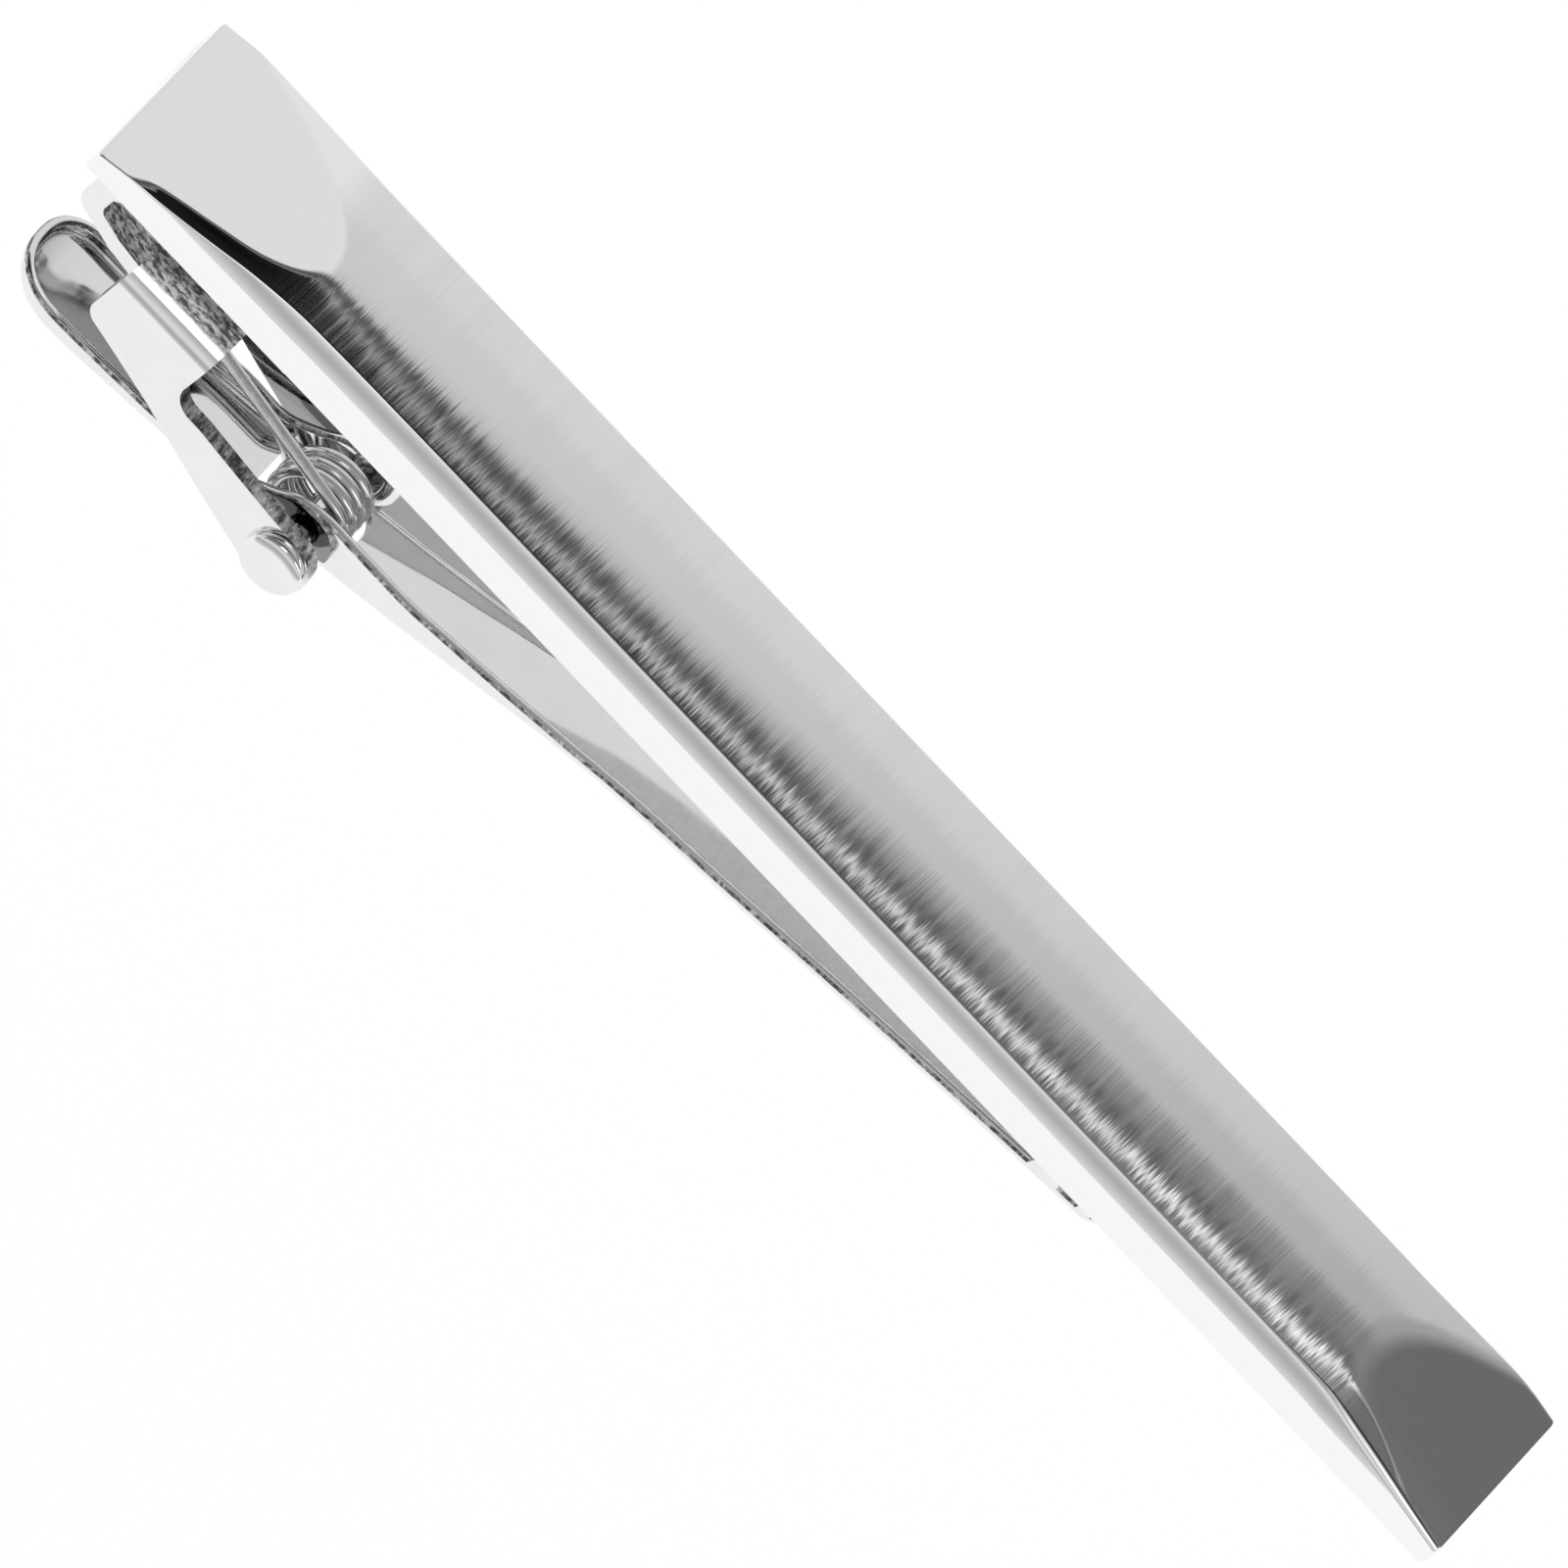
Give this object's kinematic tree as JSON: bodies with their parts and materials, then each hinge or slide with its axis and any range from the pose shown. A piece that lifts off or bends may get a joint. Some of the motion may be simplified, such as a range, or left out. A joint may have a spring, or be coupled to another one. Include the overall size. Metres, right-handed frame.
{
  "type": "tie clip",
  "caption": "Long domed bar with bevelled ends and a sprung, channel-section pinch clasp hinged on a folded bracket behind it.",
  "frame": {"origin": "on the flat back of the bar, halfway along it and halfway across it, where the garment is gripped", "axes": "+X along the bar from the clasp end to the free end, +Z out of the domed front, Y across the bar"},
  "size_m": [0.06, 0.0066, 0.0113],
  "materials": {
    "brushed_bar": "dome brushed straight across, side walls and end bevels mirror polished",
    "polished_plate": "bright plated sheet, sheared edges left rough",
    "bright_rivet": "bright plated, domed heads",
    "spring_wire": "drawn and plated spring wire"
  },
  "bodies": {
    "bar_body": {"front_bar": "brushed_bar", "hinge_bracket": "polished_plate", "hinge_pin": "bright_rivet", "torsion_spring": "spring_wire"},
    "lever_body": {"clasp_lever": "polished_plate"}
  },
  "joints": [
    {"name": "lever_hinge", "type": "hinge", "parent": "bar_body", "child": "lever_body", "pos_m": [-0.01665, 0, -0.00704], "axis": [0, 1, 0], "range_deg": [0, 16], "stiffness_Nm_per_rad": 0.0127, "springref_deg": -114.59, "deforming": ["torsion_spring"]}
  ]
}
